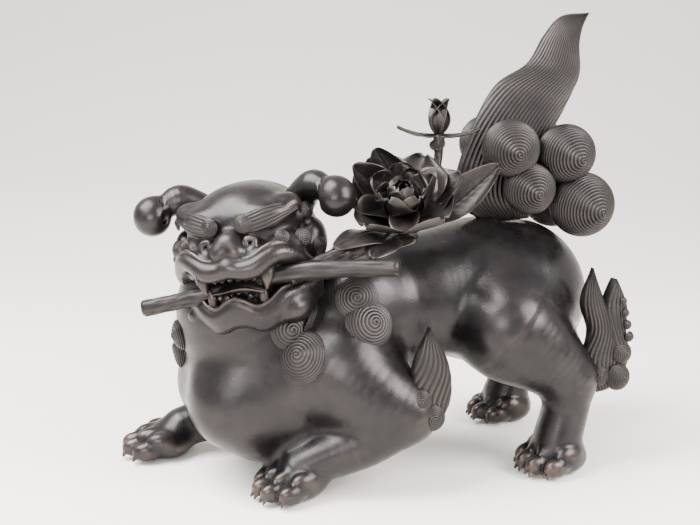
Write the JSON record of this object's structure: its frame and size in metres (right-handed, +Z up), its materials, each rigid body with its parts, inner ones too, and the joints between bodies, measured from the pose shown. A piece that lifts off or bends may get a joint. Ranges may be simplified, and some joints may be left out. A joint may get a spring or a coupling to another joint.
{
  "type": "guardian lion statue",
  "caption": "Crouching bronze guardian lion, head turned to its left, gripping a branch with a peony spray; its flame-shaped tail lifts out of a socket in the rump.",
  "frame": {"origin": "on the ground, under the middle of the whole statue's box", "axes": "+Z up, +Y from the chest towards the rump, +X towards the lion's left flank"},
  "size_m": [0.145, 0.2835, 0.2578],
  "materials": {
    "bronze": "dark brown-black patina, satin",
    "spray_bronze": "dark brown patina, satin, rubbed edges"
  },
  "bodies": {
    "statue": {"trunk_casting": "bronze", "belly_plate": "bronze", "core_plug_left": "bronze", "core_plug_right": "bronze", "core_plug_chest": "bronze", "tail_socket": "bronze", "foreleg_left": "bronze", "foreleg_right": "bronze", "hindleg_left": "bronze", "hindleg_right": "bronze", "elbow_flame_left": "bronze", "elbow_flame_right": "bronze", "hock_flame_left": "bronze", "hock_flame_right": "bronze", "head_casting": "bronze", "ear_left": "bronze", "ear_right": "bronze", "main_branch": "spray_bronze", "mouth_leaf": "spray_bronze", "flower_stem": "spray_bronze", "spray_rivet": "spray_bronze", "bud_stem": "spray_bronze", "bud": "spray_bronze", "bud_sepals": "spray_bronze", "peony_guard_petals": "spray_bronze", "peony_inner_petals": "spray_bronze", "peony_heart": "spray_bronze", "shoulder_leaf": "spray_bronze", "flank_leaf": "spray_bronze", "crest_leaf": "spray_bronze"},
    "tail": {"tail_root": "bronze", "tail_tenon": "bronze", "tail_plume": "bronze", "tail_curls_left": "bronze", "tail_curls_right": "bronze"}
  },
  "joints": [
    {"name": "tail_lift", "type": "slide", "parent": "statue", "child": "tail", "axis": [0, 0, 1], "range_m": [0, 0.03]}
  ]
}
